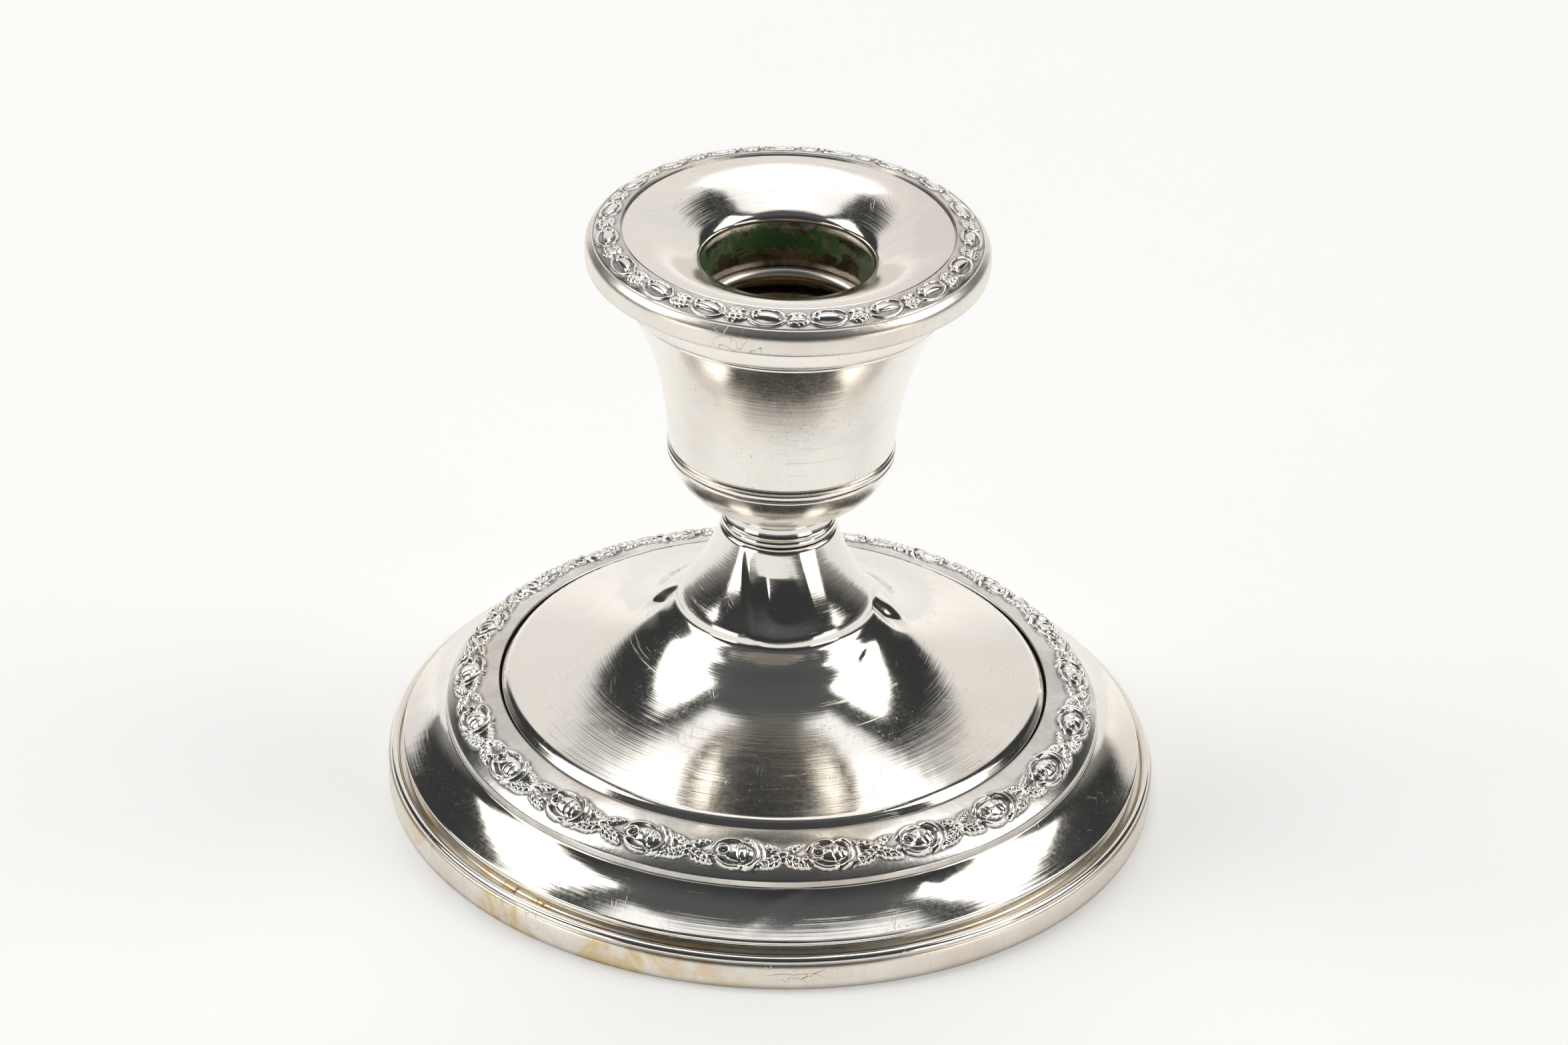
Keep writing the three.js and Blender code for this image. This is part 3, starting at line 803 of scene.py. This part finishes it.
class Sky:
    """World shader built from soft rectangles of light on a dim room."""

    def __init__(self):
        world = bpy.data.worlds.new("studio")
        world.use_nodes = True
        bpy.context.scene.world = world
        self.tree = world.node_tree
        self.tree.nodes.clear()
        self.place = self.tree.nodes.new("ShaderNodeTexCoord").outputs["Generated"]
        self.total = None

    def math(self, operation, a, b=0.0):
        node = self.tree.nodes.new("ShaderNodeMath")
        node.operation = operation
        for value, socket in zip((a, b), node.inputs):
            if isinstance(value, bpy.types.NodeSocket):
                self.tree.links.new(value, socket)
            else:
                socket.default_value = value
        return node.outputs[0]

    def along(self, axis):
        node = self.tree.nodes.new("ShaderNodeVectorMath")
        node.operation = "DOT_PRODUCT"
        self.tree.links.new(self.place, node.inputs[0])
        node.inputs[1].default_value = axis
        return node.outputs["Value"]

    def edge(self, value, limit, soft):
        """1 well inside the limit, 0 outside."""
        node = self.tree.nodes.new("ShaderNodeMapRange")
        node.interpolation_type = "SMOOTHSTEP"
        self.tree.links.new(value, node.inputs["Value"])
        for key, number in zip(RANGE_SOCKETS, (limit - soft, limit + soft, 1.0, 0.0)):
            node.inputs[key].default_value = number
        return node.outputs["Result"]

    def add(self, mask, tint, strength):
        node = self.tree.nodes.new("ShaderNodeVectorMath")
        node.operation = "SCALE"
        node.inputs[0].default_value = [channel * strength for channel in tint[:3]]
        self.tree.links.new(mask, node.inputs["Scale"])
        if self.total is None:
            self.total = node.outputs[0]
            return
        both = self.tree.nodes.new("ShaderNodeVectorMath")
        both.operation = "ADD"
        self.tree.links.new(self.total, both.inputs[0])
        self.tree.links.new(node.outputs[0], both.inputs[1])
        self.total = both.outputs[0]

    def panel(self, low, high, half_width, tint, strength, soft=0.03):
        """A lit rectangle whose middle line runs from direction low to direction high."""
        low, high = direction(*low), direction(*high)
        middle = (low + high).normalized()
        tall = (high - low).normalized()
        wide = tall.cross(middle)
        reach = (high - low).length / (low + high).length
        depth = self.math("MAXIMUM", self.along(middle), 0.02)
        across = self.math("ABSOLUTE", self.math("DIVIDE", self.along(wide), depth))
        up = self.math("ABSOLUTE", self.math("DIVIDE", self.along(tall), depth))
        front = self.edge(self.math("MULTIPLY", self.along(middle), -1.0), -0.1, 0.05)
        mask = self.math("MULTIPLY", self.edge(across, half_width, soft), self.edge(up, reach, soft))
        self.add(self.math("MULTIPLY", mask, front), tint, strength)

    def finish(self, seen):
        """The camera sees a plain pale colour instead of the lights."""
        nodes, links = self.tree.nodes, self.tree.links
        light = nodes.new("ShaderNodeBackground")
        plain_sky = nodes.new("ShaderNodeBackground")
        swap = nodes.new("ShaderNodeMixShader")
        links.new(self.total, light.inputs["Color"])
        plain_sky.inputs["Color"].default_value = seen
        links.new(nodes.new("ShaderNodeLightPath").outputs["Is Camera Ray"], swap.inputs["Fac"])
        links.new(light.outputs[0], swap.inputs[1])
        links.new(plain_sky.outputs[0], swap.inputs[2])
        links.new(swap.outputs[0], nodes.new("ShaderNodeOutputWorld").inputs["Surface"])


def studio_sky():
    sky = Sky()
    everywhere = sky.edge(sky.along((0, 0, 1)), 2.0, 0.1)
    sky.add(everywhere, colour(0.90, 0.99, 1.0), 0.042)
    sideways = sky.math("ABSOLUTE", sky.along((1, 0, 0)))
    ahead = sky.along((0, 1, 0))
    above = sky.along((0, 0, 1))
    in_front = sky.math("MULTIPLY", ahead, -1.0)
    # White paper that hangs behind the object and lies on the table.
    width = sky.math("DIVIDE", sideways, sky.math("MAXIMUM", ahead, 0.05))
    back = sky.math("MULTIPLY", sky.edge(width, 0.74, 0.06), sky.edge(in_front, -0.06, 0.03))
    sky.add(back, colour(1.0, 0.975, 0.945), 0.84)
    sky.add(sky.edge(above, 0.14, 0.12), colour(1.0, 0.95, 0.90), 0.22)
    # A long light overhead that ends just above the object.
    width = sky.math("DIVIDE", sideways, sky.math("MAXIMUM", above, 0.05))
    over = sky.math("MULTIPLY", sky.edge(width, 0.39, 0.03), sky.edge(in_front, 0.03, 0.035))
    over = sky.math("MULTIPLY", over, sky.edge(ahead, 0.56, 0.1))
    sky.add(over, colour(1.0, 1.0, 1.0), 1.1)
    # Dim ceiling between that light and the camera.
    sky.panel((180, 52), (0, 86), 0.9, colour(0.92, 0.97, 1.0), 0.06, 0.35)
    # Softboxes left and right, and their lower neighbours towards the camera.
    for side in (-1, 1):
        sky.panel((side * 86, 24), (side * 85, 60), 0.28, colour(1.0, 0.99, 0.94), 2.6)
        sky.panel((side * 124, -2), (side * 122, 19), 0.27, colour(1.0, 0.97, 0.9), 1.7)
    sky.finish(colour(0.95, 0.95, 0.96))


def area_light(name, place, size, power):
    data = bpy.data.lights.new(name, "AREA")
    data.shape = "SQUARE"
    data.size = size
    data.energy = power
    light = bpy.data.objects.new(name, data)
    light.location = place
    light.rotation_euler = (-Vector(place)).to_track_quat("-Z", "Y").to_euler()
    light.visible_glossy = False
    light.visible_camera = False
    bpy.context.scene.collection.objects.link(light)


def camera():
    """Looks down at the stand with a long lens and a slight roll, at the photo's viewing angle."""
    pitch, roll = math.radians(30.589), math.radians(2.052)
    right = Vector((1, 0, 0))
    ahead = Vector((0, math.cos(pitch), -math.sin(pitch)))
    up = right.cross(ahead)
    across = math.cos(roll) * right + math.sin(roll) * up
    upright = -math.sin(roll) * right + math.cos(roll) * up
    offset = (-1.869 * MM, -32.567 * MM, 747.339 * MM)
    place = -(offset[0] * across + offset[1] * upright + offset[2] * ahead)
    data = bpy.data.cameras.new("camera")
    data.sensor_width = SENSOR_WIDTH
    data.lens = FOCAL_LENGTH
    data.clip_start = 0.01
    view = bpy.data.objects.new("camera", data)
    turn = Matrix((across, upright, -ahead)).transposed().to_4x4()
    view.matrix_world = Matrix.Translation(place) @ turn
    bpy.context.scene.collection.objects.link(view)
    bpy.context.scene.camera = view


studio_floor()
studio_sky()
area_light("key", (-0.3, 0.1, 0.9), size=0.35, power=1.0)
camera()
bpy.context.scene.view_settings.view_transform = "Standard"
